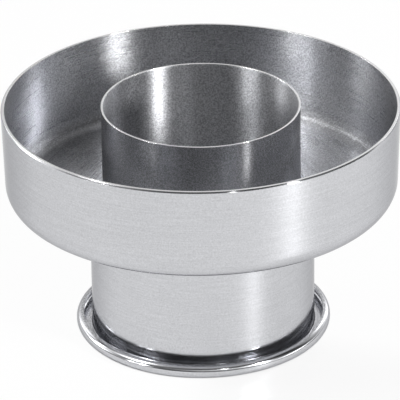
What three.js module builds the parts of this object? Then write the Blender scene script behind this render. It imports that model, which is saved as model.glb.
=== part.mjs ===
// Doughnut cutter in stainless steel sheet: a drawn cup cuts the outside, a ring in its middle cuts
// the hole, and both are welded to the closed end of a tubular grip with a rolled palm rim.
// Millimetres, +Z up. The part stands on its palm rim with the cutting edges on top, and the origin
// is the centre of the face that it stands on.

import * as THREE from "three";

// Cutting cup
const CUP_DIAMETER = 80; // outside, at the cutting edge
const CUT_DEPTH = 19.8; // from the underside of the cup to the cutting edges
const CUP_DRAFT = 0.55; // how far the wall leans in on its way down to the corner
const CUP_CORNER = 3.4; // inside radius between wall and floor
const CUP_SHEET = 0.7;
const CUP_BEVEL = 0.3; // height of the ground bevel on the outside of the edge
const CUP_EDGE_LAND = 0.48; // flat that the bevel leaves on the edge

// Ring that cuts the hole
const HOLE_DIAMETER = 40; // outside of the ring
const RING_SHEET = 0.5;
const RING_BEVEL = 0.3; // height of the ground bevel on the inside of the edge
const RING_EDGE_LAND = 0.4;

// Tubular grip
const GRIP_LENGTH = 28.8; // from the standing face to the seat under the cup
const GRIP_STEP = 2.7; // how far the grip stands out past the ring all round
const GRIP_SHEET = 0.6;
const SEAT_BEND = 0.6; // inside radius where the grip turns in to its closed end

// Palm rim at the open end of the grip
const GUTTER_BEND = 0.2; // inside radius where the grip turns out to the rim
const STANDING_WIDTH = 1.7; // flat ring that the part stands on
const RIM_FOOT_BEND = 0.7; // inside radius where the rim turns up
const RIM_SIDE = 0.1; // straight stretch between the rim's two bends
const RIM_TOP_BEND = 0.8; // inside radius where the rim turns back towards the grip
const RIM_LIP = 0.05; // straight end of the sheet past the top bend

// Weld seams
const RING_SEAM_LEG = 0.8; // both legs of the fillet between ring and cup floor
const GRIP_SEAM_BULGE = 0.35; // how far the seam under the cup stands out past the grip
const SEAM_ROOT_ANGLE = 30; // degrees round the grip's bend where its seam is too thin to go on

// Fits
const CUP_HOLE_CLEARANCE = 0.1; // round the ring where it passes through the cup floor
const SEAM_CLEARANCE = 0.05; // between a seam and the round faces that it lies on

// Facets
const ROUND_SEGMENTS = 64; // round the axis
const BEND_STEPS = 5; // for each quarter turn of a bend
const SEAM_STEPS = 4; // across the face of a seam

// Sizes that follow from those above
const cupRadius = CUP_DIAMETER / 2;
const ringRadius = HOLE_DIAMETER / 2;
const boreRadius = ringRadius - RING_SHEET;
const gripRadius = ringRadius + GRIP_STEP;
const rimRadius = gripRadius + GUTTER_BEND + STANDING_WIDTH + RIM_FOOT_BEND + GRIP_SHEET;
const rimHeight = 2 * GRIP_SHEET + RIM_FOOT_BEND + RIM_SIDE + RIM_TOP_BEND;
const lipRadius = rimRadius - GRIP_SHEET - RIM_TOP_BEND - RIM_LIP;
const seatHeight = GRIP_LENGTH;
const cutHeight = seatHeight + CUT_DEPTH;

const point = (r, z) => new THREE.Vector2(r, z);

// Points round an arc, from one angle to another in radians.
function arcPoints(centre, radius, from, to, steps) {
  return Array.from({ length: steps + 1 }, (_, i) => {
    const angle = from + ((to - from) * i) / steps;
    return point(centre.x + radius * Math.cos(angle), centre.y + radius * Math.sin(angle));
  });
}

// How far a path turns at a corner, in radians: positive to the left.
function turnAt(before, corner, after) {
  const way = corner.clone().sub(before);
  const next = after.clone().sub(corner);
  return Math.atan2(way.cross(next), way.dot(next));
}

// One face of a bent sheet: its middle line moved sideways to the left, with each bend as an arc.
// A corner is { at, inside }: a corner of the middle line, and the bend's inside radius there.
function sheetFace(corners, sheet, sideways) {
  const at = corners.map((corner) => corner.at);
  const last = at.length - 1;
  const wayFrom = (i) => at[i + 1].clone().sub(at[i]).normalize();
  const leftOf = (way) => point(-way.y, way.x);
  const face = [at[0].clone().addScaledVector(leftOf(wayFrom(0)), sideways)];
  for (let i = 1; i < last; i++) {
    const turn = turnAt(at[i - 1], at[i], at[i + 1]);
    const towards = Math.sign(turn);
    const bend = corners[i].inside + sheet / 2;
    const way = wayFrom(i - 1);
    const start = at[i].clone().addScaledVector(way, -bend * Math.tan(Math.abs(turn) / 2));
    const centre = start.clone().addScaledVector(leftOf(way), towards * bend);
    const from = Math.atan2(start.y - centre.y, start.x - centre.x);
    const steps = Math.ceil((BEND_STEPS * Math.abs(turn)) / (Math.PI / 2));
    face.push(...arcPoints(centre, bend - towards * sideways, from, from + turn, steps));
  }
  face.push(at[last].clone().addScaledVector(leftOf(wayFrom(last - 1)), sideways));
  return face;
}

// Closed outline of a bent sheet. A bevel takes the corner off the sheet's first end, on the side given.
function sheetOutline(corners, sheet, bevel) {
  const left = sheetFace(corners, sheet, sheet / 2);
  const right = sheetFace(corners, sheet, -sheet / 2);
  if (bevel) {
    const [cut, kept] = bevel.side === "left" ? [left, right] : [right, left];
    const down = cut[1].clone().sub(cut[0]).normalize();
    const land = kept[0].clone().lerp(cut[0], bevel.land / sheet);
    cut.splice(0, 1, land, cut[0].clone().addScaledVector(down, bevel.height));
  }
  return [...left, ...right.reverse()];
}

// A closed outline of radius and height, turned about the Z axis. The loop runs anticlockwise, so that
// the faces point outwards.
function turned(outline) {
  const loop = THREE.ShapeUtils.isClockWise(outline) ? [...outline].reverse() : outline;
  return new THREE.LatheGeometry([...loop, loop[0].clone()], ROUND_SEGMENTS).rotateX(Math.PI / 2);
}

// Cup: from the cutting edge down the wall, round the corner and in to the hole for the ring.
function cupOutline() {
  const middle = CUP_SHEET / 2;
  const floor = seatHeight + middle;
  return sheetOutline(
    [
      { at: point(cupRadius - middle, cutHeight) },
      { at: point(cupRadius - CUP_DRAFT - middle, floor), inside: CUP_CORNER },
      { at: point(ringRadius + CUP_HOLE_CLEARANCE, floor) },
    ],
    CUP_SHEET,
    { side: "left", height: CUP_BEVEL, land: CUP_EDGE_LAND },
  );
}

// Ring: straight down from the cutting edge to the closed end of the grip.
function ringOutline() {
  const middle = ringRadius - RING_SHEET / 2;
  return sheetOutline(
    [{ at: point(middle, cutHeight) }, { at: point(middle, seatHeight) }],
    RING_SHEET,
    { side: "right", height: RING_BEVEL, land: RING_EDGE_LAND },
  );
}

// Grip: from the hole in its closed end, down the tube, out along the foot, up and back over the rim.
function gripOutline() {
  const middle = GRIP_SHEET / 2;
  const closedEnd = seatHeight - middle;
  const tube = gripRadius - middle;
  const rimSide = rimRadius - middle;
  const rimTop = rimHeight - middle;
  return sheetOutline(
    [
      { at: point(boreRadius, closedEnd) },
      { at: point(tube, closedEnd), inside: SEAT_BEND },
      { at: point(tube, middle), inside: GUTTER_BEND },
      { at: point(rimSide, middle), inside: RIM_FOOT_BEND },
      { at: point(rimSide, rimTop), inside: RIM_TOP_BEND },
      { at: point(lipRadius, rimTop) },
    ],
    GRIP_SHEET,
  );
}

// Fillet of weld metal in the corner between the ring and the cup floor, hollow-faced.
function ringSeamOutline() {
  const inner = ringRadius + SEAM_CLEARANCE;
  const floor = seatHeight + CUP_SHEET;
  const hollow = point(inner + RING_SEAM_LEG, floor + RING_SEAM_LEG);
  const face = arcPoints(hollow, RING_SEAM_LEG, -Math.PI / 2, -Math.PI, SEAM_STEPS);
  return [point(inner, floor), ...face];
}

// Weld metal in the groove that the grip's bend leaves under the cup, with a round face outside.
function gripSeamOutline() {
  const bend = SEAT_BEND + GRIP_SHEET;
  const bendCentre = point(gripRadius - bend, seatHeight - bend);
  const root = THREE.MathUtils.degToRad(90 - SEAM_ROOT_ANGLE);
  const groove = arcPoints(bendCentre, bend + SEAM_CLEARANCE, root, 0, SEAM_STEPS);
  const low = groove[SEAM_STEPS];
  const high = point(gripRadius + GRIP_SEAM_BULGE, seatHeight);
  const belly = point(high.x, (low.y + high.y) / 2);
  const face = new THREE.QuadraticBezierCurve(low, belly, high).getPoints(SEAM_STEPS);
  return [...groove, ...face.slice(1), point(groove[0].x, seatHeight)];
}

const satinSteel = { color: 0xc9cacd, metalness: 1, roughness: 0.34 };
const brightSteel = { color: 0xc4c5c8, metalness: 1, roughness: 0.22 };
const weldSteel = { color: 0xb4b3b1, metalness: 1, roughness: 0.45 };

function piece(name, outline, finish) {
  const mesh = new THREE.Mesh(turned(outline), new THREE.MeshStandardMaterial(finish));
  mesh.name = name;
  return mesh;
}

const cutter = new THREE.Group();
cutter.add(
  piece("cutting_cup", cupOutline(), satinSteel),
  piece("hole_ring", ringOutline(), brightSteel),
  piece("grip_tube", gripOutline(), satinSteel),
  piece("ring_weld_seam", ringSeamOutline(), weldSteel),
  piece("grip_weld_seam", gripSeamOutline(), weldSteel),
);

export default cutter;
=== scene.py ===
import math

import bmesh
import bpy
from mathutils import Matrix, Vector


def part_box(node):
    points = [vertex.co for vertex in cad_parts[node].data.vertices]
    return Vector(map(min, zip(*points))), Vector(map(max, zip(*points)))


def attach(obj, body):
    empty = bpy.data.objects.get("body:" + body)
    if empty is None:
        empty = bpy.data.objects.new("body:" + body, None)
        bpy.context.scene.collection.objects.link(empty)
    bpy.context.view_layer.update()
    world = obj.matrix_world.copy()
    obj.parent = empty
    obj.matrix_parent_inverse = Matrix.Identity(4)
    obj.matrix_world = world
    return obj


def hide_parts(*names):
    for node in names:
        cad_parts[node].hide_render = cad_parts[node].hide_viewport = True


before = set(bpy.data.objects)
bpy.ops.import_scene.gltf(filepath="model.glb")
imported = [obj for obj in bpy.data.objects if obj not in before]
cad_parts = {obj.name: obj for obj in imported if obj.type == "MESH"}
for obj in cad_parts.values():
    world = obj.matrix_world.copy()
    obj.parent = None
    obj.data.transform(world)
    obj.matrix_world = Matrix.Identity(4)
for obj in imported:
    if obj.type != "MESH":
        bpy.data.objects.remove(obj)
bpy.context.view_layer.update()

bl_info = {
    "name": "Doughnut cutter",
    "version": (1, 0, 0),
    "blender": (4, 5, 0),
    "location": "3D View > Sidebar > Cutter",
    "description": "Builds a doughnut cutter of brushed steel sheet and the stage under it",
    "category": "Add Mesh",
}

BODY = "root"
MM = 0.001

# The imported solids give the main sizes
CUP_LOW, CUP_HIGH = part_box("cutting_cup")
RING_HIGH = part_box("hole_ring")[1]
GRIP_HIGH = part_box("grip_tube")[1]


def length(name, description, default):
    """A size in metres."""
    return bpy.props.FloatProperty(
        name=name, description=description, default=default, min=0.0, precision=5,
        subtype="DISTANCE", unit="LENGTH",
    )


def colour(name, description, default):
    """A linear colour."""
    return bpy.props.FloatVectorProperty(
        name=name, description=description, default=default, min=0.0, max=1.0, size=3,
        subtype="COLOR",
    )


def share(name, description, default):
    """A number from 0 to 1."""
    return bpy.props.FloatProperty(
        name=name, description=description, default=default, min=0.0, max=1.0, subtype="FACTOR",
    )


def level(name, description, default):
    """A brightness, where 1 is white."""
    return bpy.props.FloatProperty(name=name, description=description, default=default, min=0.0)


def turn(name, description, degrees):
    """An angle."""
    return bpy.props.FloatProperty(
        name=name, description=description, default=math.radians(degrees), subtype="ANGLE",
        unit="ROTATION",
    )


class CutterSizes(bpy.types.PropertyGroup):
    """Sizes of the three sheets and the two weld seams"""

    cup_radius: length("Cup radius", "Outside of the cup at its cutting edge", CUP_HIGH.x)
    cut_height: length("Cutting height", "Height of both cutting edges", RING_HIGH.z)
    seat_height: length("Seat height", "Underside of the cup, where it sits on the grip", CUP_LOW.z)
    cup_draft: length("Cup draft", "How far the wall leans in on its way down", 0.55 * MM)
    cup_corner: length("Cup corner", "Inside radius between wall and floor", 3.4 * MM)
    cup_sheet: length("Cup sheet", "Thickness of the cup", 0.7 * MM)
    cup_bevel: length("Cup bevel", "Height of the bevel on the cup's edge", 0.3 * MM)
    cup_land: length("Cup land", "Flat that the bevel leaves on the cup's edge", 0.48 * MM)
    ring_radius: length("Ring radius", "Outside of the ring that cuts the hole", RING_HIGH.x)
    ring_sheet: length("Ring sheet", "Thickness of the ring", 0.5 * MM)
    ring_bevel: length("Ring bevel", "Height of the bevel on the ring's edge", 0.3 * MM)
    ring_land: length("Ring land", "Flat that the bevel leaves on the ring's edge", 0.4 * MM)
    hole_clearance: length("Hole clearance", "Between the ring and the hole in the cup", 0.1 * MM)
    grip_step: length("Grip step", "How far the grip stands out past the ring", 2.7 * MM)
    grip_sheet: length("Grip sheet", "Thickness of the grip", 0.6 * MM)
    seat_bend: length("Seat bend", "Inside radius at the grip's closed end", 0.6 * MM)
    gutter_bend: length("Gutter bend", "Inside radius where the grip turns out", 0.2 * MM)
    rim_radius: length("Rim radius", "Outside of the palm rim", GRIP_HIGH.x)
    rim_foot_bend: length("Rim foot bend", "Inside radius where the rim turns up", 0.7 * MM)
    rim_side: length("Rim side", "Straight stretch between the rim's two bends", 0.1 * MM)
    rim_top_bend: length("Rim top bend", "Inside radius where the rim turns back", 0.8 * MM)
    rim_lip: length("Rim lip", "Straight end of the sheet past the rim's top bend", 0.05 * MM)
    edge_round: length("Edge round", "Radius that finishing leaves on a sheet's edges", 0.04 * MM)
    wobble: length("Wobble", "How far the sheets stray from round", 0.05 * MM)
    ring_seam_leg: length("Ring seam leg", "Size of the seam round the ring", 0.8 * MM)
    grip_seam_bulge: length("Grip seam bulge", "How far the grip's seam stands out", 0.35 * MM)
    seam_ripple: length("Seam ripple", "Height of the ripples along the seams", 0.1 * MM)
    seam_pitch: length("Seam pitch", "Distance between ripples", 1.1 * MM)


class CutterFinish(bpy.types.PropertyGroup):
    """Colours and polish of the steel"""

    steel: colour("Steel", "Colour of the sheets", (0.596, 0.601, 0.622))
    weld: colour("Weld", "Colour of the seams", (0.46, 0.45, 0.44))
    rim_tint: colour("Grazing tint", "Tint of reflections at a grazing angle", (0.62, 0.62, 0.63))
    outside: share("Outside roughness", "Roughness of the faces that look away from the axis", 0.11)
    grip_outside: share("Grip roughness", "Roughness of the outside of the grip", 0.17)
    inside: share("Inside roughness", "Roughness of the faces that look towards the axis", 0.28)
    ring_outside: share("Ring outside roughness", "Roughness of the outside of the ring", 0.20)
    ring_inside: share("Ring inside roughness", "Roughness inside the ring", 0.40)
    corner: share("Corner roughness", "Roughness of the round corner between wall and floor", 0.50)
    level: share("Level roughness", "Roughness of the faces that look up", 0.28)
    rim: share("Rim roughness", "Roughness of the gutter and the palm rim", 0.15)
    edge: share("Edge roughness", "Roughness of the ground cutting edges", 0.12)
    edge_steel: colour("Edge steel", "Colour of the ground cutting edges", (0.9, 0.9, 0.905))
    brush: share("Brush", "How strongly the brush stretches reflections", 1.0)
    grip_brush: share("Grip brush", "The same on the grip, which is polished", 0.3)


class CutterStage(bpy.types.PropertyGroup):
    """Camera, floor and light"""

    camera_place: bpy.props.FloatVectorProperty(
        name="Camera place", description="Where the camera stands", size=3,
        default=(0.0, -0.7741, 0.4099), subtype="TRANSLATION", unit="LENGTH",
    )
    camera_pitch: turn("Camera pitch", "How far the camera looks down", 26.303)
    camera_yaw: turn("Camera yaw", "How far the camera looks to the left", 0.0287)
    camera_roll: turn("Camera roll", "How far the camera leans", -0.796)
    camera_lens: bpy.props.FloatProperty(
        name="Camera lens", description="Focal length in millimetres", default=384.7, unit="CAMERA",
    )
    floor_colour: colour("Floor", "Colour of the floor", (0.9, 0.9, 0.9))
    front_level: level("Front level", "Brightness of the dark side behind the camera", 0.02)
    back_level: level("Back level", "Brightness of the backdrop behind the object", 0.6)
    top_level: level("Top level", "Brightness overhead", 0.75)


class Term:
    """A socket's value in a node tree. Arithmetic on it adds Math nodes."""

    def __init__(self, graph, socket):
        self.graph = graph
        self.socket = socket

    def also(self, name):
        """Another output of the same node."""
        return Term(self.graph, self.socket.node.outputs[name])

    def math(self, operation, *values):
        return self.graph.add("ShaderNodeMath", {"operation": operation}, dict(enumerate(values)))

    def __add__(self, other):
        return self.math("ADD", self, other)

    def __radd__(self, other):
        return self.math("ADD", other, self)

    def __sub__(self, other):
        return self.math("SUBTRACT", self, other)

    def __rsub__(self, other):
        return self.math("SUBTRACT", other, self)

    def __mul__(self, other):
        return self.math("MULTIPLY", self, other)

    def __rmul__(self, other):
        return self.math("MULTIPLY", other, self)

    def __truediv__(self, other):
        return self.math("DIVIDE", self, other)

    def __rtruediv__(self, other):
        return self.math("DIVIDE", other, self)

    def __pow__(self, other):
        return self.math("POWER", self, other)


class Graph:
    """Adds nodes to a node tree."""

    def __init__(self, tree):
        self.tree = tree

    def add(self, kind, settings=None, inputs=None, output=0):
        """Adds one node: first its settings, then the values or links of its inputs."""
        node = self.tree.nodes.new(kind)
        for name, value in (settings or {}).items():
            setattr(node, name, value)
        for key, value in (inputs or {}).items():
            if isinstance(value, Term):
                self.tree.links.new(value.socket, node.inputs[key])
            else:
                node.inputs[key].default_value = value
        return Term(self, node.outputs[output]) if len(node.outputs) else None

    def combine(self, x, y, z):
        return self.add("ShaderNodeCombineXYZ", inputs={0: x, 1: y, 2: z})

    def noise(self, vector, scale=1.0, detail=2.0):
        return self.add(
            "ShaderNodeTexNoise", inputs={"Vector": vector, "Scale": scale, "Detail": detail}
        )

    def bump(self, height, strength, distance):
        """A normal that follows a height."""
        return self.add(
            "ShaderNodeBump", inputs={"Strength": strength, "Distance": distance, "Height": height}
        )

    def blend(self, factor, first, second):
        """A colour between two colours."""
        return self.add(
            "ShaderNodeMix", {"data_type": "RGBA"}, {0: factor, 6: first, 7: second}, output=2
        )

    def smooth(self, value, low, high):
        """0 below low, 1 above high and a smooth step between."""
        return self.add(
            "ShaderNodeMapRange", {"interpolation_type": "SMOOTHSTEP"},
            {"Value": value, "From Min": low, "From Max": high},
        )


def arc_points(centre, radius, start, sweep, steps):
    """Points round an arc of an outline."""
    angles = (start + sweep * i / steps for i in range(steps + 1))
    return [centre + radius * Vector((math.cos(angle), math.sin(angle))) for angle in angles]


BEND_STEPS = 10  # for each quarter turn of a bend


def bent_face(corners, sheet, sideways):
    """One face of a bent sheet: its middle line moved to the left, with each bend as an arc.

    A corner is (radius, height), or (radius, height, inside radius) where the sheet bends.
    """
    at = [Vector(corner[:2]) for corner in corners]
    ways = [(after - before).normalized() for before, after in zip(at, at[1:])]
    lefts = [Vector((-way.y, way.x)) for way in ways]
    face = [at[0] + lefts[0] * sideways]
    for i in range(1, len(at) - 1):
        sweep = math.atan2(ways[i - 1].cross(ways[i]), ways[i - 1].dot(ways[i]))
        towards = math.copysign(1.0, sweep)
        bend = corners[i][2] + sheet / 2
        start = at[i] - ways[i - 1] * bend * math.tan(abs(sweep) / 2)
        centre = start + lefts[i - 1] * towards * bend
        angle = math.atan2(start.y - centre.y, start.x - centre.x)
        steps = math.ceil(BEND_STEPS * abs(sweep) / (math.pi / 2))
        face += arc_points(centre, bend - towards * sideways, angle, sweep, steps)
    face.append(at[-1] + lefts[-1] * sideways)
    return face


def sheet_outline(corners, sheet):
    """A bent sheet's closed outline in two halves: its left face, then its right one backwards."""
    return bent_face(corners, sheet, sheet / 2), bent_face(corners, sheet, -sheet / 2)[::-1]


def bevelled(cut, kept, height, land):
    """One face with its first end cut back by a bevel, which leaves a land beside the kept end."""
    across = (cut[0] - kept).normalized()
    down = (cut[1] - cut[0]).normalized()
    return [kept + across * land, cut[0] + down * height, *cut[1:]]


SHARP = math.radians(25)  # a turn past this is an edge, and not a step of a bend
ROUND_STEPS = 4  # round each edge
SETBACK_LIMIT = 0.45  # greatest share of a straight that a rounded corner takes


def rounded(outline, radius):
    """A closed outline with each sharp corner made a small arc."""
    result = []
    count = len(outline)
    for i, corner in enumerate(outline):
        before = corner - outline[i - 1]
        after = outline[(i + 1) % count] - corner
        sweep = math.atan2(before.cross(after), before.dot(after))
        if abs(sweep) < SHARP:
            result.append(corner)
            continue
        half = math.tan(abs(sweep) / 2)
        room = SETBACK_LIMIT * min(before.length, after.length)
        setback = min(radius * half, room)
        way = before.normalized()
        start = corner - way * setback
        towards = math.copysign(setback / half, sweep)
        centre = start + Vector((-way.y, way.x)) * towards
        angle = math.atan2(start.y - centre.y, start.x - centre.x)
        result += arc_points(centre, setback / half, angle, sweep, ROUND_STEPS)
    return result


def spaced(outline, step, support):
    """A closed outline with points along its straights, and two close to their ends."""
    result = []
    for start, end in zip(outline, outline[1:] + outline[:1]):
        result.append(start)
        run = (end - start).length
        if run <= 3 * support:
            continue
        way = (end - start) / run
        pieces = max(1, math.ceil((run - 2 * support) / step))
        gap = (run - 2 * support) / pieces
        result += [start + way * (support + gap * i) for i in range(pieces + 1)]
    return result


def set_inputs(modifier, values):
    """Sets a Geometry Nodes modifier's inputs, found by the names in its tree."""
    sockets = {
        item.name: item.identifier
        for item in modifier.node_group.interface.items_tree
        if item.in_out == "INPUT"
    }
    for name, value in values.items():
        modifier[sockets[name]] = value


def new_tree(name, inputs):
    """A Geometry Nodes tree with an outline in, a mesh out and named inputs for its sizes."""
    tree = bpy.data.node_groups.new(name, "GeometryNodeTree")
    tree.interface.new_socket("Outline", in_out="INPUT", socket_type="NodeSocketGeometry")
    for label, kind in inputs.items():
        tree.interface.new_socket(label, in_out="INPUT", socket_type="NodeSocket" + kind)
    tree.interface.new_socket("Mesh", in_out="OUTPUT", socket_type="NodeSocketGeometry")
    graph = Graph(tree)
    return graph, graph.add("NodeGroupInput", output="Outline")


def swept(graph, given):
    """The outline carried round a circle about the Z axis."""
    profile = graph.add("GeometryNodeMeshToCurve", inputs={"Mesh": given})
    circle = graph.add(
        "GeometryNodeCurvePrimitiveCircle",
        inputs={"Resolution": given.also("Segments"), "Radius": given.also("Path radius")},
    )
    return graph.add(
        "GeometryNodeCurveToMesh", inputs={"Curve": circle, "Profile Curve": profile}
    )


def end_tree(graph, given, mesh, offset):
    """Moves the swept mesh's points, shades it smooth and gives it its material."""
    moved = graph.add("GeometryNodeSetPosition", inputs={"Geometry": mesh, "Offset": offset})
    smoothed = graph.add("GeometryNodeSetShadeSmooth", inputs={"Geometry": moved})
    real = graph.add("GeometryNodeRealizeInstances", inputs={"Geometry": smoothed})
    dressed = graph.add(
        "GeometryNodeSetMaterial", inputs={"Geometry": real, "Material": given.also("Material")}
    )
    graph.add("NodeGroupOutput", inputs={"Mesh": dressed})
    return graph.tree


def scaled(graph, vector, factor):
    """A vector times a number."""
    return graph.add(
        "ShaderNodeVectorMath", {"operation": "SCALE"}, {0: vector, "Scale": factor}
    )


def sheet_tree():
    """Turns the outline of a sheet, and lets it stray a little from round as spun metal does."""
    graph, given = new_tree("Turned sheet", {
        "Path radius": "Float", "Segments": "Int", "Wobble": "Float", "Wobble size": "Float",
        "Seed": "Float", "Material": "Material",
    })
    place = graph.add("GeometryNodeInputPosition")
    stray = graph.add(
        "ShaderNodeTexNoise", {"noise_dimensions": "4D"},
        {"Vector": place, "W": given.also("Seed"), "Scale": 1 / given.also("Wobble size"),
         "Detail": 1.0},
        output="Color",
    )
    centred = graph.add(
        "ShaderNodeVectorMath", {"operation": "SUBTRACT"}, {0: stray, 1: (0.5, 0.5, 0.5)}
    )
    return end_tree(graph, given, swept(graph, given), scaled(graph, centred, given.also("Wobble")))


UNEVEN_SCALE = 400.0  # unevenness of a seam's ripples, in repeats for each metre
RIPPLE_POWER = 0.6  # below 1, so that a ripple rises quickly and then flattens


def seam_tree():
    """Turns the outline of a weld seam, with overlapping ripples along it."""
    graph, given = new_tree("Weld seam", {
        "Path radius": "Float", "Segments": "Int", "Ripples": "Int", "Ripple height": "Float",
        "Unevenness": "Float", "Seed": "Float", "Material": "Material",
    })
    place = graph.add("GeometryNodeInputPosition")
    x = graph.add("ShaderNodeSeparateXYZ", inputs={0: place})
    around = x.math("ARCTAN2", x.also("Y"), x) / (2 * math.pi)
    uneven = graph.add(
        "ShaderNodeTexNoise", {"noise_dimensions": "4D"},
        {"Vector": place, "W": given.also("Seed"), "Scale": UNEVEN_SCALE, "Detail": 1.0},
    )
    phase = around * given.also("Ripples") + uneven * given.also("Unevenness")
    ripple = phase.math("FRACT", phase) ** RIPPLE_POWER - 0.5
    normal = graph.add("GeometryNodeInputNormal")
    offset = scaled(graph, normal, ripple * given.also("Ripple height"))
    return end_tree(graph, given, swept(graph, given), offset)


def turned_piece(name, outline, tree, path_radius, inputs):
    """Turns an outline with a tree and keeps the result as a plain mesh."""
    wire = bpy.data.meshes.new(name + "_outline")
    count = len(outline)
    edges = [(i, (i + 1) % count) for i in range(count)]
    wire.from_pydata([(p.x - path_radius, -p.y, 0.0) for p in outline], edges, [])
    maker = bpy.data.objects.new(name + "_outline", wire)
    bpy.context.scene.collection.objects.link(maker)
    modifier = maker.modifiers.new("Turn", "NODES")
    modifier.node_group = tree
    set_inputs(modifier, {"Path radius": path_radius, **inputs})
    evaluated = maker.evaluated_get(bpy.context.evaluated_depsgraph_get())
    mesh = bpy.data.meshes.new_from_object(evaluated)
    maker.modifiers.remove(modifier)
    bpy.data.objects.remove(maker)
    bpy.data.meshes.remove(wire)
    mesh.name = name
    check_solid(mesh)
    piece = bpy.data.objects.new(name, mesh)
    bpy.context.scene.collection.objects.link(piece)
    return piece


def check_solid(mesh):
    """Raises an error unless the mesh is closed and faces outwards."""
    shape = bmesh.new()
    shape.from_mesh(mesh)
    closed = all(len(edge.link_faces) == 2 for edge in shape.edges)
    volume = shape.calc_volume(signed=True)
    shape.free()
    if not closed or volume <= 0:
        raise RuntimeError(f"{mesh.name} isn't a closed solid that faces outwards")


def new_material(name):
    """A material with no nodes yet, and what adds nodes to it."""
    material = bpy.data.materials.new(name)
    material.use_nodes = True
    material.node_tree.nodes.clear()
    return material, Graph(material.node_tree)


def opaque(rgb):
    """A colour with nothing showing through."""
    return (*rgb, 1.0)


def shaded(rgb, factor):
    """A colour made lighter or darker."""
    return opaque(min(1.0, channel * factor) for channel in rgb)


# Marks on the steel, in repeats for each metre
LINE_SCALE = 4200.0  # brush lines
LINE_TURNS = 4.0  # how soon a line changes on its way round, in repeats for each radian
GRAIN_SCALE = 3400.0
SMUDGE_SCALE = 70.0
HAIR_SCALES = (150.0, 3600.0, 300.0)  # along a hairline, across it and out from the axis
HAIR_RANGE = (0.56, 0.72)  # noise at which a hairline begins and is full
SLANT = math.radians(38)  # of the hairlines

# Where a face belongs, from the parts of its normal
INNER_RANGE = (0.3, -0.3)  # outward part, from the outside to the inside
LEVEL_RANGE = (0.8, 0.98)  # upward part, from a wall to a floor
CORNER_RANGE = (0.1, 0.5)  # upward part, from a wall to the corner below it

# Shade of the steel, where 0 is the darkest and 1 the lightest
DARKEST = 0.7  # as a share of the steel's colour
LIGHTEST = 1.3
PLAIN_SHADE = 0.46
# painted shade: the outside is painted a little darker than the inside, which gets this much more
INSIDE_PAINTED_LIGHTER = 0.02
# painted shade: how much darker the round corner between wall and floor is painted
CORNER_PAINTED_SHADE = 0.3
LINE_SHADE = 0.4
SMUDGE_SHADE = 0.1
HAIR_SHADE = 0.3
OUTSIDE_GRAIN = 0.7
INSIDE_GRAIN = 4.0
RING_GRAIN = 3.5  # on the ring's outside

# Roughness that the marks add
LINE_ROUGHNESS = 0.05
SMUDGE_ROUGHNESS = 0.03
HAIR_ROUGHNESS = 0.01

# The two reflections that the steel mixes
CLEAR_ROUGHNESS = 0.55  # of the clear one, as a share of the brushed one's
BRUSHED_SHARE = 0.75  # of the brushed one
BRUSH_TURN = 0.25  # of a whole turn, which lays the brush round the axis

# Relief of the marks
RELIEF_STRENGTH = 0.06
RELIEF_DEPTH = 0.06 * MM
LINE_RELIEF = 0.6
HAIR_RELIEF = 0.2
GRAIN_RELIEF = 0.2
INSIDE_GRAIN_RELIEF = 0.5  # added to that inside
DEEP_LINES = 28.0  # added inside for the brushed reflection, to spread it further
DEEP_HAIRS = 6.0

EDGE_DEPTH = 0.06 * MM  # how far down a cutting edge its grinding reaches
RIM_MARGIN = 0.15 * MM  # how gradually the tube's finish gives way to the rim's


def steel_faces(graph, round_x, round_y):
    """How far a face looks to the axis, how far up, and how far it is in the corner between."""
    facing = graph.add("ShaderNodeNewGeometry", output="Normal")
    face_x = graph.add("ShaderNodeSeparateXYZ", inputs={0: facing})
    face_y, face_z = face_x.also("Y"), face_x.also("Z")
    inner = graph.smooth(face_x * round_x + face_y * round_y, *INNER_RANGE)
    level_face = graph.smooth(face_z, *LEVEL_RANGE)
    corner = graph.smooth(face_z, *CORNER_RANGE) * inner
    return inner, level_face, corner


def brush_marks(graph, place, radius, round_x, round_y):
    """Brush lines round the axis, a grain, smudges and slanting hairlines, each from 0 to 1."""
    x = graph.add("ShaderNodeSeparateXYZ", inputs={0: place})
    y, z = x.also("Y"), x.also("Z")
    across = (z + radius) * LINE_SCALE
    lines = graph.noise(
        graph.combine(round_x * LINE_TURNS, round_y * LINE_TURNS, across), detail=3.0
    )
    grain = graph.noise(place, scale=GRAIN_SCALE)
    smudge = graph.noise(place, scale=SMUDGE_SCALE, detail=3.0)

    around = x.math("ARCTAN2", x, y) * radius
    along = around * math.cos(SLANT) + z * math.sin(SLANT)
    over = z * math.cos(SLANT) - around * math.sin(SLANT)
    hair_along, hair_over, hair_out = HAIR_SCALES
    slanted = graph.noise(
        graph.combine(along * hair_along, over * hair_over, radius * hair_out), detail=1.0
    )
    return lines, grain, smudge, graph.smooth(slanted, *HAIR_RANGE)


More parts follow.
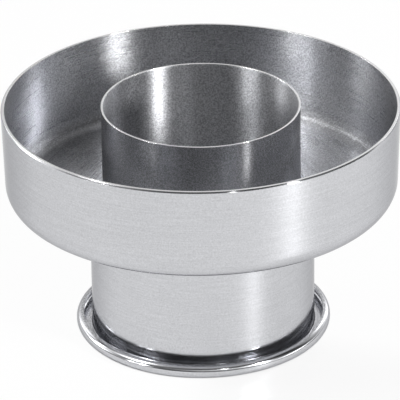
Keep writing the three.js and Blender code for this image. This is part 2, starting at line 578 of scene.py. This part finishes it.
def brushed_steel(name, finish, brush, grainy, outside, inside, ground_from=None, rim_from=None):
    """Steel brushed round the Z axis, as a clear reflection and one that the brush lines spread.

    The values outside and inside are roughness, and grainy is the grain outside. Above the height
    ground_from the steel is ground bright, and past the radius rim_from it has the palm rim's
    roughness.
    """
    material, graph = new_material(name)
    place = graph.add("ShaderNodeTexCoord", output="Object")
    x = graph.add("ShaderNodeSeparateXYZ", inputs={0: place})
    y, z = x.also("Y"), x.also("Z")
    radius = (x * x + y * y) ** 0.5
    round_x, round_y = x / radius, y / radius
    inner, level_face, corner = steel_faces(graph, round_x, round_y)
    within = inner.math("MAXIMUM", inner, level_face)
    lines, grain, smudge, scratch = brush_marks(graph, place, radius, round_x, round_y)
    hairline = scratch * inner

    # Painted shade: the corner between wall and floor is painted darker, and the outside a little
    # darker than the inside
    shade = PLAIN_SHADE + within * INSIDE_PAINTED_LIGHTER - corner * CORNER_PAINTED_SHADE
    shade = shade + (lines - 0.5) * LINE_SHADE + (smudge - 0.5) * SMUDGE_SHADE
    shade = shade + (grain - 0.5) * (grainy + within * (INSIDE_GRAIN - grainy))
    shade = shade + hairline * HAIR_SHADE
    base = graph.blend(shade, shaded(finish.steel, DARKEST), shaded(finish.steel, LIGHTEST))

    rough = outside + (inside - outside) * inner
    rough = rough + (finish.corner - rough) * corner
    rough = rough + (finish.level - rough) * level_face
    if ground_from:
        ground = graph.smooth(z, ground_from, ground_from + EDGE_DEPTH / 3)
        base = graph.blend(ground, base, opaque(finish.edge_steel))
        rough = rough + (finish.edge - rough) * ground
    if rim_from:
        outer = graph.smooth(radius, rim_from, rim_from + RIM_MARGIN)
        rough = rough + (finish.rim - rough) * outer
    rough = rough + (lines - 0.5) * LINE_ROUGHNESS + (smudge - 0.5) * SMUDGE_ROUGHNESS
    rough = rough + hairline * HAIR_ROUGHNESS

    height = lines * LINE_RELIEF + hairline * HAIR_RELIEF
    height = height + grain * (GRAIN_RELIEF + within * INSIDE_GRAIN_RELIEF)
    grooves = height + (lines * DEEP_LINES + hairline * DEEP_HAIRS) * inner
    steel = {"Base Color": base, "Metallic": 1.0, "Specular Tint": opaque(finish.rim_tint)}
    clear = graph.add("ShaderNodeBsdfPrincipled", inputs={
        **steel, "Roughness": rough * CLEAR_ROUGHNESS,
        "Normal": graph.bump(height, RELIEF_STRENGTH, RELIEF_DEPTH),
    })
    broad = graph.add("ShaderNodeBsdfPrincipled", inputs={
        **steel, "Roughness": rough, "Anisotropic": brush, "Anisotropic Rotation": BRUSH_TURN,
        "Normal": graph.bump(grooves, RELIEF_STRENGTH, RELIEF_DEPTH),
    })
    both = graph.add("ShaderNodeMixShader", inputs={0: BRUSHED_SHARE, 1: clear, 2: broad})
    graph.add("ShaderNodeOutputMaterial", inputs={"Surface": both})
    return material


# Weld metal, with its patterns in repeats for each metre
MOTTLE_SCALE = 900.0
MOTTLE_ROUGHNESS = 0.25
MOTTLE_STRENGTH = 0.25
MOTTLE_DEPTH = 0.05 * MM
HEAT_SCALE = 260.0
HEAT_RANGE = (0.35, 0.7)  # noise between which straw turns to blue
STRAW = (1.08, 0.98, 0.82)  # what the heat does to the weld's colour
BLUE = (0.86, 0.92, 1.06)
WELD_ROUGHNESS = 0.32


def weld_metal(name, finish):
    """Weld metal: greyer, rougher and mottled, with straw and blue tints from the heat."""
    material, graph = new_material(name)
    place = graph.add("ShaderNodeTexCoord", output="Object")
    mottle = graph.noise(place, scale=MOTTLE_SCALE, detail=4.0)
    heat = graph.smooth(graph.noise(place, scale=HEAT_SCALE), *HEAT_RANGE)
    warm, cool = (
        opaque(channel * factor for channel, factor in zip(finish.weld, tint))
        for tint in (STRAW, BLUE)
    )
    shader = graph.add("ShaderNodeBsdfPrincipled", inputs={
        "Base Color": graph.blend(heat, warm, cool), "Metallic": 1.0,
        "Roughness": WELD_ROUGHNESS + mottle * MOTTLE_ROUGHNESS,
        "Normal": graph.bump(mottle, MOTTLE_STRENGTH, MOTTLE_DEPTH),
    })
    graph.add("ShaderNodeOutputMaterial", inputs={"Surface": shader})
    return material


def settle(piece, node):
    """The piece rides on the only body and stands for its CAD node."""
    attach(piece, BODY)
    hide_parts(node)
    return piece


SHEET_SEGMENTS = 360  # round the axis
SHEET_STEP = 1.0 * MM  # greatest distance between points along a straight
EDGE_SUPPORT = 0.12 * MM  # from the end of a straight to the point next to it
WOBBLE_SIZE = 28.0 * MM
WOBBLE_SEED = 3.0


def sheet_piece(name, node, outline, sizes, material):
    """A sheet made from its outline, which takes the place of its CAD node."""
    smooth = spaced(rounded(outline, sizes.edge_round), SHEET_STEP, EDGE_SUPPORT)
    tree = bpy.data.node_groups.get("Turned sheet") or sheet_tree()
    piece = turned_piece(name, smooth, tree, sizes.ring_radius, {
        "Segments": SHEET_SEGMENTS, "Wobble": sizes.wobble, "Wobble size": WOBBLE_SIZE,
        "Seed": WOBBLE_SEED, "Material": material,
    })
    return settle(piece, node)


class CUTTER_OT_cup(bpy.types.Operator):
    """Draws the cutting cup: a leaning wall with a bevelled edge, a corner and a pierced floor"""

    bl_idname = "cutter.cup"
    bl_label = "Cutting cup"

    def execute(self, context):
        sizes, finish = context.scene.cutter_sizes, context.scene.cutter_finish
        middle = sizes.cup_sheet / 2
        floor = sizes.seat_height + middle
        outside, inside = sheet_outline([
            (sizes.cup_radius - middle, sizes.cut_height),
            (sizes.cup_radius - sizes.cup_draft - middle, floor, sizes.cup_corner),
            (sizes.ring_radius + sizes.hole_clearance, floor),
        ], sizes.cup_sheet)
        outline = bevelled(outside, inside[-1], sizes.cup_bevel, sizes.cup_land) + inside
        ground_from = sizes.cut_height - EDGE_DEPTH
        steel = brushed_steel(
            "Satin cup steel", finish, finish.brush, OUTSIDE_GRAIN, finish.outside, finish.inside,
            ground_from,
        )
        sheet_piece("cup", "cutting_cup", outline, sizes, steel)
        return {"FINISHED"}


class CUTTER_OT_ring(bpy.types.Operator):
    """Rolls the ring that cuts the hole, bevelled on the inside of its edge"""

    bl_idname = "cutter.ring"
    bl_label = "Hole ring"

    def execute(self, context):
        sizes, finish = context.scene.cutter_sizes, context.scene.cutter_finish
        middle = sizes.ring_radius - sizes.ring_sheet / 2
        foot, edge = sizes.seat_height, sizes.cut_height
        outside, inside = sheet_outline([(middle, edge), (middle, foot)], sizes.ring_sheet)
        inner = bevelled(inside[::-1], outside[0], sizes.ring_bevel, sizes.ring_land)
        outline = outside + inner[::-1]
        ground_from = sizes.cut_height - EDGE_DEPTH
        steel = brushed_steel(
            "Bright ring steel", finish, finish.brush, RING_GRAIN, finish.ring_outside,
            finish.ring_inside, ground_from,
        )
        sheet_piece("ring", "hole_ring", outline, sizes, steel)
        return {"FINISHED"}


class CUTTER_OT_grip(bpy.types.Operator):
    """Spins the grip: a closed end with a hole, a tube, a gutter and a rolled palm rim"""

    bl_idname = "cutter.grip"
    bl_label = "Grip and palm rim"

    def execute(self, context):
        sizes, finish = context.scene.cutter_sizes, context.scene.cutter_finish
        middle = sizes.grip_sheet / 2
        closed_end = sizes.seat_height - middle
        tube = sizes.ring_radius + sizes.grip_step - middle
        rim_side = sizes.rim_radius - middle
        rim_height = (
            2 * sizes.grip_sheet + sizes.rim_foot_bend + sizes.rim_side + sizes.rim_top_bend
        )
        rim_top = rim_height - middle
        lip = sizes.rim_radius - sizes.grip_sheet - sizes.rim_top_bend - sizes.rim_lip
        outside, inside = sheet_outline([
            (sizes.ring_radius - sizes.ring_sheet, closed_end),
            (tube, closed_end, sizes.seat_bend),
            (tube, middle, sizes.gutter_bend),
            (rim_side, middle, sizes.rim_foot_bend),
            (rim_side, rim_top, sizes.rim_top_bend),
            (lip, rim_top),
        ], sizes.grip_sheet)
        rim_from = tube + middle + RIM_MARGIN
        steel = brushed_steel(
            "Satin grip steel", finish, finish.grip_brush, OUTSIDE_GRAIN, finish.grip_outside,
            finish.inside, rim_from=rim_from,
        )
        sheet_piece("grip", "grip_tube", outside + inside, sizes, steel)
        return {"FINISHED"}


SEAM_SEGMENTS_PER_RIPPLE = 10
SEAM_SEED = 7.0
SEAM_UNEVENNESS = 1.2  # how many ripples a ripple strays at most
SEAM_ROOT = math.radians(60)  # up the grip's bend from its side, where its seam begins
SEAM_STEPS = 8  # across the face of a seam
GROOVE_STEPS = 6


def seam_piece(name, node, outline, sizes, material):
    """A rippled weld seam, which takes the place of its CAD node."""
    path_radius = outline[0].x
    ripples = round(2 * math.pi * path_radius / sizes.seam_pitch)
    tree = bpy.data.node_groups.get("Weld seam") or seam_tree()
    piece = turned_piece(name, outline, tree, path_radius, {
        "Segments": ripples * SEAM_SEGMENTS_PER_RIPPLE, "Ripples": ripples,
        "Ripple height": sizes.seam_ripple, "Unevenness": SEAM_UNEVENNESS, "Seed": SEAM_SEED,
        "Material": material,
    })
    return settle(piece, node)


class CUTTER_OT_seams(bpy.types.Operator):
    """Lays the two weld seams: round the foot of the ring, and under the cup round the grip"""

    bl_idname = "cutter.seams"
    bl_label = "Weld seams"

    def execute(self, context):
        sizes, finish = context.scene.cutter_sizes, context.scene.cutter_finish
        metal = weld_metal("Weld metal", finish)
        floor = sizes.seat_height + sizes.cup_sheet
        leg = sizes.ring_seam_leg
        corner = Vector((sizes.ring_radius, floor))
        face = arc_points(corner + Vector((leg, leg)), leg, -math.pi, math.pi / 2, SEAM_STEPS)
        seam_piece("ring_seam", "ring_weld_seam", [corner, *face], sizes, metal)

        bend = sizes.seat_bend + sizes.grip_sheet
        grip = sizes.ring_radius + sizes.grip_step
        centre = Vector((grip - bend, sizes.seat_height - bend))
        groove = arc_points(centre, bend, SEAM_ROOT, -SEAM_ROOT, GROOVE_STEPS)
        high = Vector((grip + sizes.grip_seam_bulge, sizes.seat_height))
        low = groove[-1]
        reach = high - low
        turns = [math.pi / 2 * i / SEAM_STEPS for i in range(1, SEAM_STEPS + 1)]
        bead = [low + Vector((reach.x * math.sin(t), reach.y * (1 - math.cos(t)))) for t in turns]
        root = Vector((groove[0].x, high.y))
        seam_piece("grip_seam", "grip_weld_seam", [*groove, *bead, root][::-1], sizes, metal)
        return {"FINISHED"}


CAMERA_REACH = (0.05, 20.0)  # nearest and farthest that the camera sees

# Floor, in metres, with shares of plain white
FLOOR_HALF = 3.0  # half of its side
FOOT_SHADE = (0.0248, 0.0254)  # distances from the axis between which the floor clears
MIRRORED_SHADE = (0.0250, 0.0285)  # the same where the steel mirrors it
FLOOR_SHOWN = 0.93  # what the camera sees
FLOOR_MIRRORED = 0.735  # what the steel mirrors
FLOOR_GLOSS = 0.09  # how much of the lamps the floor mirrors
FLOOR_ROUGHNESS = 0.5
GLOSS_BEARING = math.radians(34.0)  # middle of the sector where the floor is glossy
GLOSS_FADE = (0.72, 0.98)  # cosine of the angle to that middle, from matt to glossy

# Softboxes round the object: bearing from the camera's side towards the right, half width, lowest
# and highest elevation, all in degrees, and brightness. Beside each is what it lights most.
SOFTBOXES = {
    "front": (5.0, 30.0, 16.0, 36.0, 0.9),  # walls at the back
    "front_strip": (19.0, 1.2, 28.0, 40.0, 17.0),  # thin middle streak in the ring
    "key_glow": (46.0, 14.0, 14.0, 34.0, 2.4),  # soft sides of the key's streaks
    "left_low_inner": (-55.0, 2.0, 9.0, 19.0, 40.0),  # first streak on the cup's right
    "left_low_outer": (-66.0, 1.8, 8.0, 16.0, 20.0),  # second streak there
    "left_high_outer": (-71.0, 2.0, 40.0, 56.0, 36.0),  # right streak deep in the ring
    "left_high": (-80.0, 18.0, 36.0, 60.0, 4.2),  # floor of the cup
    "left_middle": (-98.0, 14.0, 16.0, 36.0, 1.2),  # right wall
    "left_low_side": (-108.0, 10.0, 8.0, 16.0, 16.0),  # upper right wall
    "left_side": (-112.0, 3.0, 16.0, 36.0, 8.0),  # streak on the right wall
    "left_back": (-139.0, 13.0, 2.0, 36.0, 2.4),  # far right
    "back_strip": (177.0, 5.0, 20.0, 33.0, 0.45),  # flats of the cutting edges
    "right_side": (85.0, 20.0, 8.0, 14.0, 7.5),  # upper left wall
    "right_back": (150.0, 9.0, 2.0, 36.0, 3.2),  # far left wall
}
SOFT_EDGE = 0.05  # how gradually a softbox ends at its top and bottom
SOFT_FADE = -1.5  # power by which it fades sideways, to about a third at its half width

# Backdrop and ceiling
BACK_BEARING = math.radians(165.0)  # middle of the backdrop
BACK_FADE = (0.45, 0.85)  # cosine of the angle to that middle, from dark to bright
TOP_FADE = (0.75, 0.92)  # sine of the elevation, from the walls to the ceiling

# Strip lamp on the right, in metres
KEY_BEARING = math.radians(51.8)
KEY_TILT = math.radians(26.0)
KEY_DISTANCE = 0.52
KEY_SIZE = (0.04, 0.14)
KEY_BRIGHTNESS = 102.0


class CUTTER_OT_stage(bpy.types.Operator):
    """Sets the camera, the white floor and a dim room with softboxes"""

    bl_idname = "cutter.stage"
    bl_label = "Stage"

    def execute(self, context):
        look = context.scene.cutter_stage
        context.scene.view_settings.view_transform = "Standard"
        self.set_camera(context.scene, look)
        self.lay_floor(context.scene, look)
        self.set_room(context.scene, look)
        self.hang_key(context.scene)
        return {"FINISHED"}

    def set_camera(self, scene, look):
        data = bpy.data.cameras.new("camera")
        data.lens = look.camera_lens
        data.clip_start, data.clip_end = CAMERA_REACH
        camera = bpy.data.objects.new("camera", data)
        scene.collection.objects.link(camera)
        down = Matrix.Rotation(math.pi / 2 - look.camera_pitch, 4, "X")
        lean = Matrix.Rotation(look.camera_roll, 4, "Z")
        aside = Matrix.Rotation(look.camera_yaw, 4, "Z")
        camera.matrix_world = Matrix.Translation(look.camera_place) @ aside @ down @ lean
        scene.camera = camera

    def lay_floor(self, scene, look):
        mesh = bpy.data.meshes.new("floor")
        side = FLOOR_HALF
        corners = [(-side, -side, 0.0), (side, -side, 0.0), (side, side, 0.0), (-side, side, 0.0)]
        mesh.from_pydata(corners, [], [(0, 1, 2, 3)])
        mesh.materials.append(self.floor_material(look))
        floor = bpy.data.objects.new("floor", mesh)
        scene.collection.objects.link(floor)

    def floor_material(self, look):
        """Mostly white where seen or mirrored, but shaded inside the tube that stands on it."""
        material, graph = new_material("White floor")
        rays = graph.add("ShaderNodeLightPath", output="Is Camera Ray")
        mirrored = rays.also("Is Glossy Ray")
        place = graph.add("ShaderNodeTexCoord", output="Object")
        far = graph.add("ShaderNodeVectorMath", {"operation": "LENGTH"}, {0: place}, output="Value")
        clear = graph.smooth(far, *FOOT_SHADE)
        clear_mirrored = graph.smooth(far, *MIRRORED_SHADE)
        matt = graph.add("ShaderNodeBsdfDiffuse", inputs={"Color": opaque(look.floor_colour)})
        white = graph.add("ShaderNodeEmission", inputs={"Strength": 1.0})
        share_shown = rays * clear * FLOOR_SHOWN + mirrored * clear_mirrored * FLOOR_MIRRORED
        both = graph.add("ShaderNodeMixShader", inputs={0: share_shown, 1: matt, 2: white})
        gloss = graph.add("ShaderNodeBsdfGlossy", inputs={"Roughness": FLOOR_ROUGHNESS})
        x = graph.add("ShaderNodeSeparateXYZ", inputs={0: place})
        towards = x * math.sin(GLOSS_BEARING) - x.also("Y") * math.cos(GLOSS_BEARING)
        polish = graph.smooth(towards / far, *GLOSS_FADE) * FLOOR_GLOSS
        surface = graph.add("ShaderNodeMixShader", inputs={0: polish, 1: both, 2: gloss})
        graph.add("ShaderNodeOutputMaterial", inputs={"Surface": surface})
        material.cycles.emission_sampling = "NONE"
        return material

    def set_room(self, scene, look):
        """Dark behind the camera, a bright backdrop and ceiling, and the softboxes."""
        world = bpy.data.worlds.new("Studio")
        scene.world = world
        world.use_nodes = True
        world.node_tree.nodes.clear()
        graph = Graph(world.node_tree)
        way = graph.add("ShaderNodeTexCoord", output="Generated")
        x = graph.add("ShaderNodeSeparateXYZ", inputs={0: way})
        y, z = x.also("Y"), x.also("Z")
        flat = (x * x + y * y) ** 0.5
        towards = (x * math.sin(BACK_BEARING) - y * math.cos(BACK_BEARING)) / flat
        back = graph.smooth(towards, *BACK_FADE)
        top = graph.smooth(z, *TOP_FADE)
        side = look.front_level + (look.back_level - look.front_level) * back
        light = side + (look.top_level - side) * top
        for bearing, spread, low, high, brightness in SOFTBOXES.values():
            turned = math.radians(bearing)
            apart = 1.0 - (x * math.sin(turned) - y * math.cos(turned)) / flat
            across = (1.0 + apart * (2.0 / math.radians(spread) ** 2)) ** SOFT_FADE
            bottom, ceiling = math.sin(math.radians(low)), math.sin(math.radians(high))
            above = graph.smooth(z, bottom - SOFT_EDGE, bottom + SOFT_EDGE)
            below = graph.smooth(z, ceiling + SOFT_EDGE, ceiling - SOFT_EDGE)
            light = light + across * above * below * brightness
        rays = graph.add("ShaderNodeLightPath", output="Is Camera Ray")
        shown = light + (1.0 - light) * rays
        glow = graph.add("ShaderNodeBackground", inputs={"Strength": shown})
        graph.add("ShaderNodeOutputWorld", inputs={"Surface": glow})

    def hang_key(self, scene):
        """A strip lamp on the right in front of the object."""
        data = bpy.data.lights.new("key", "AREA")
        data.shape = "RECTANGLE"
        data.size, data.size_y = KEY_SIZE
        data.energy = KEY_BRIGHTNESS * math.pi * data.size * data.size_y
        lamp = bpy.data.objects.new("key", data)
        scene.collection.objects.link(lamp)
        level_reach = math.cos(KEY_TILT)
        way = Vector((
            math.sin(KEY_BEARING) * level_reach, -math.cos(KEY_BEARING) * level_reach,
            math.sin(KEY_TILT),
        ))
        lamp.location = way * KEY_DISTANCE
        lamp.rotation_euler = way.to_track_quat("Z", "Y").to_euler()
        lamp.visible_camera = False


class CUTTER_PT_panel(bpy.types.Panel):
    """Lists the cutter's pieces and their sizes"""

    bl_idname = "CUTTER_PT_panel"
    bl_label = "Doughnut cutter"
    bl_space_type = "VIEW_3D"
    bl_region_type = "UI"
    bl_category = "Cutter"

    def draw(self, context):
        for operator in OPERATORS:
            self.layout.operator(operator.bl_idname)
        scene = context.scene
        for group in (scene.cutter_sizes, scene.cutter_finish, scene.cutter_stage):
            box = self.layout.box()
            for name in group.bl_rna.properties.keys():
                if name not in ("rna_type", "name"):
                    box.prop(group, name)


OPERATORS = (
    CUTTER_OT_stage, CUTTER_OT_cup, CUTTER_OT_ring, CUTTER_OT_grip, CUTTER_OT_seams,
)
GROUPS = {
    "cutter_sizes": CutterSizes, "cutter_finish": CutterFinish, "cutter_stage": CutterStage,
}


def register():
    for kind in (*GROUPS.values(), *OPERATORS, CUTTER_PT_panel):
        bpy.utils.register_class(kind)
    for name, group in GROUPS.items():
        setattr(bpy.types.Scene, name, bpy.props.PointerProperty(type=group))


def unregister():
    for name in GROUPS:
        delattr(bpy.types.Scene, name)
    for kind in (CUTTER_PT_panel, *reversed(OPERATORS), *reversed(GROUPS.values())):
        bpy.utils.unregister_class(kind)


def main():
    register()
    bpy.ops.cutter.stage()
    bpy.ops.cutter.cup()
    bpy.ops.cutter.ring()
    bpy.ops.cutter.grip()
    bpy.ops.cutter.seams()


if __name__ == "__main__":
    main()
